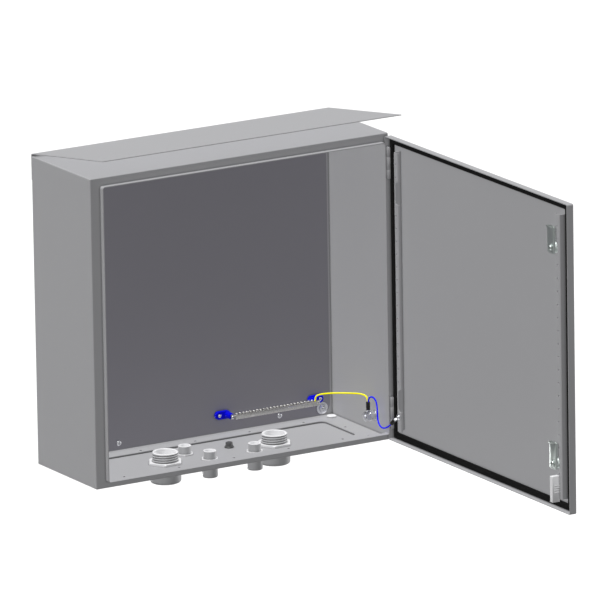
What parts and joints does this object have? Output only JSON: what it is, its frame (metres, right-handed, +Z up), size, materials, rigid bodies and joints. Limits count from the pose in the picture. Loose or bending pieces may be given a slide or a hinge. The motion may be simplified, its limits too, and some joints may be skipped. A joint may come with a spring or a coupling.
{
  "type": "traffic signal controller cabinet",
  "caption": "Wall-hung sheet-metal controller cabinet with a sloping rain roof, a side-hinged door with cam locks, a mounting plate, an earth bar and cable glands.",
  "frame": {"origin": "centre of the four wall-fixing holes, on the outer face of the back wall", "axes": "+X to the right seen from the front, +Y back into the wall, +Z up"},
  "size_m": [0.658, 0.8732, 0.6822],
  "materials": {
    "grey_paint": "satin",
    "dark_paint": "satin",
    "zinc": "satin",
    "green_zinc": "satin",
    "nickel": "bright",
    "grey_nylon": "moulded",
    "light_nylon": "moulded",
    "black_nylon": "moulded",
    "black_rubber": "matt",
    "blue_plastic": "moulded",
    "yellow_insulation": "smooth",
    "blue_insulation": "smooth"
  },
  "bodies": {
    "root": {"cabinet_shell": "grey_paint", "rain_roof": "grey_paint", "roof_rivets": "zinc", "mounting_plate": "dark_paint", "plate_studs": "zinc", "plate_washers": "zinc", "plate_nuts": "zinc", "plate_edge_screws": "zinc", "gland_plate": "grey_paint", "gland_plate_seal": "black_rubber", "gland_plate_screws": "zinc", "large_gland_bodies": "grey_nylon", "large_gland_locknuts": "light_nylon", "large_gland_dome_nuts": "grey_nylon", "large_gland_seals": "black_rubber", "small_gland_bodies": "grey_nylon", "small_gland_locknuts": "light_nylon", "small_gland_dome_nuts": "grey_nylon", "small_gland_seals": "black_rubber", "vent_plug": "black_nylon", "floor_plug": "light_nylon", "insulators": "blue_plastic", "insulator_screws": "zinc", "earth_bar": "nickel", "terminal_screws": "nickel", "earth_stud": "zinc", "earth_washers": "zinc", "earth_nuts": "zinc", "wall_lug": "zinc", "wall_lug_sleeve": "black_rubber", "yellow_wire": "yellow_insulation", "blue_wire": "blue_insulation", "frame_hinge_knuckles": "grey_paint", "hinge_pins": "zinc"},
    "door": {"door_pan": "grey_paint", "door_gasket": "black_rubber", "door_hinge_knuckles": "grey_paint", "hinge_rail": "grey_paint", "lock_rail": "grey_paint", "lock_barrels": "green_zinc", "lock_nuts": "green_zinc", "guide_block": "light_nylon", "door_lug": "zinc", "door_lug_sleeve": "black_rubber", "door_lug_screw": "zinc"},
    "upper_lock": {"upper_lock_driver": "green_zinc", "upper_cam": "green_zinc", "upper_cam_washer": "green_zinc", "upper_cam_screw": "green_zinc"},
    "lower_lock": {"lower_lock_driver": "green_zinc", "lower_cam": "green_zinc", "lower_cam_washer": "green_zinc", "lower_cam_screw": "green_zinc"}
  },
  "joints": [
    {"name": "door_hinge", "type": "hinge", "parent": "root", "child": "door", "pos_m": [0.32, -0.2265, 0], "axis": [0, 0, 1], "range_deg": [-90, 25], "deforming": ["blue_wire"]},
    {"name": "upper_cam_turn", "type": "hinge", "parent": "door", "child": "upper_lock", "pos_m": [0.311, -0.823, 0.205], "axis": [1, 0, 0], "range_deg": [0, 90]},
    {"name": "lower_cam_turn", "type": "hinge", "parent": "door", "child": "lower_lock", "pos_m": [0.311, -0.823, -0.209], "axis": [1, 0, 0], "range_deg": [0, 90]}
  ]
}
